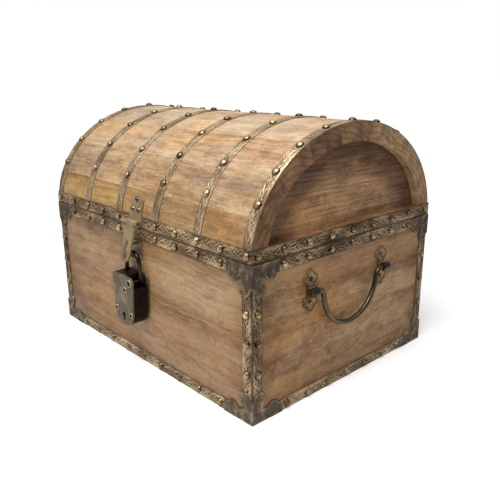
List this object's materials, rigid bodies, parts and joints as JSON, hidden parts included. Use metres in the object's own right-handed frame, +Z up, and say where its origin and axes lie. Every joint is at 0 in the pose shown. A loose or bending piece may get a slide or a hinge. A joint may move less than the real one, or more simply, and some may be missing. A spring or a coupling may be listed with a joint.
{
  "type": "treasure chest box",
  "caption": "Wooden treasure chest with a coopered dome lid on rear hinges, embossed metal bands and corners, nail heads, a slotted hasp with staple, a padlock and bail handles.",
  "frame": {"origin": "middle of the chest's footprint, on the underside of the bottom board", "axes": "+Z up, +X along the chest to the right as seen from the front, front faces -Y"},
  "size_m": [0.3496, 0.2799, 0.249],
  "materials": {
    "wood": "waxed, figured softwood",
    "embossed_strip": "thin embossed strip, antique bronze with rubbed highlights",
    "dark_bronze": "dark antique bronze",
    "nail_brass": "polished, slightly aged",
    "aged_brass": "aged",
    "handle_bronze": "antique bronze",
    "lock_plate": "dull grey",
    "lock_iron": "black iron"
  },
  "bodies": {
    "box": {"bottom_board": "wood", "front_board": "wood", "back_board": "wood", "left_board": "wood", "right_board": "wood", "rim_band_front": "embossed_strip", "rim_band_back": "embossed_strip", "rim_band_left": "embossed_strip", "rim_band_right": "embossed_strip", "foot_band_front": "embossed_strip", "foot_band_back": "embossed_strip", "foot_band_left": "embossed_strip", "foot_band_right": "embossed_strip", "corner_angles": "embossed_strip", "corner_caps": "dark_bronze", "corner_brackets": "dark_bronze", "base_nails": "nail_brass", "hasp_staple": "aged_brass", "base_hinge_leaves": "handle_bronze", "hinge_pins": "handle_bronze", "right_handle_plates": "handle_bronze", "left_handle_plates": "handle_bronze"},
    "lid": {"lid_stave_1": "wood", "lid_stave_2": "wood", "lid_stave_3": "wood", "lid_stave_4": "wood", "lid_stave_5": "wood", "lid_stave_6": "wood", "lid_stave_7": "wood", "lid_stave_8": "wood", "lid_stave_9": "wood", "lid_end_panel_left": "wood", "lid_end_panel_right": "wood", "lid_end_rail_left": "wood", "lid_end_rail_right": "wood", "lid_band_front": "embossed_strip", "lid_band_back": "embossed_strip", "lid_band_left": "embossed_strip", "lid_band_right": "embossed_strip", "lid_strap_1": "embossed_strip", "lid_strap_2": "embossed_strip", "lid_strap_3": "embossed_strip", "lid_strap_4": "embossed_strip", "lid_strap_5": "embossed_strip", "lid_strap_6": "embossed_strip", "lid_hinge_leaves": "handle_bronze", "hasp_plate": "aged_brass", "hasp_rivets": "aged_brass", "hasp_pin": "aged_brass", "lid_nails": "nail_brass"},
    "hasp": {"hasp_strap": "aged_brass"},
    "shackle": {"padlock_shackle": "lock_iron"},
    "padlock": {"padlock_case": "lock_iron", "padlock_front_plate": "lock_plate", "padlock_back_plate": "lock_plate", "padlock_rivets": "nail_brass", "padlock_pin": "lock_iron"},
    "right_handle": {"right_bail": "handle_bronze"},
    "left_handle": {"left_bail": "handle_bronze"}
  },
  "joints": [
    {"name": "lid_hinge", "type": "hinge", "parent": "box", "child": "lid", "pos_m": [0, 0.1294, 0.1433], "axis": [-1, 0, 0], "range_deg": [0, 105]},
    {"name": "hasp_swing", "type": "hinge", "parent": "lid", "child": "hasp", "pos_m": [0, -0.1299, 0.148], "axis": [-1, 0, 0], "range_deg": [0, 130]},
    {"name": "padlock_swing", "type": "hinge", "parent": "box", "child": "shackle", "pos_m": [0, -0.1308, 0.121], "axis": [-1, 0, 0], "range_deg": [0, 25]},
    {"name": "shackle_pivot", "type": "hinge", "parent": "shackle", "child": "padlock", "pos_m": [0.0115, -0.133, 0.09258], "axis": [0, -1, 0], "range_deg": [0, 60]},
    {"name": "right_bail_swing", "type": "hinge", "parent": "box", "child": "right_handle", "pos_m": [0.17, -0.006, 0.105], "axis": [0, -1, 0], "range_deg": [0, 165]},
    {"name": "left_bail_swing", "type": "hinge", "parent": "box", "child": "left_handle", "pos_m": [-0.17, -0.006, 0.105], "axis": [0, 1, 0], "range_deg": [0, 165]}
  ]
}
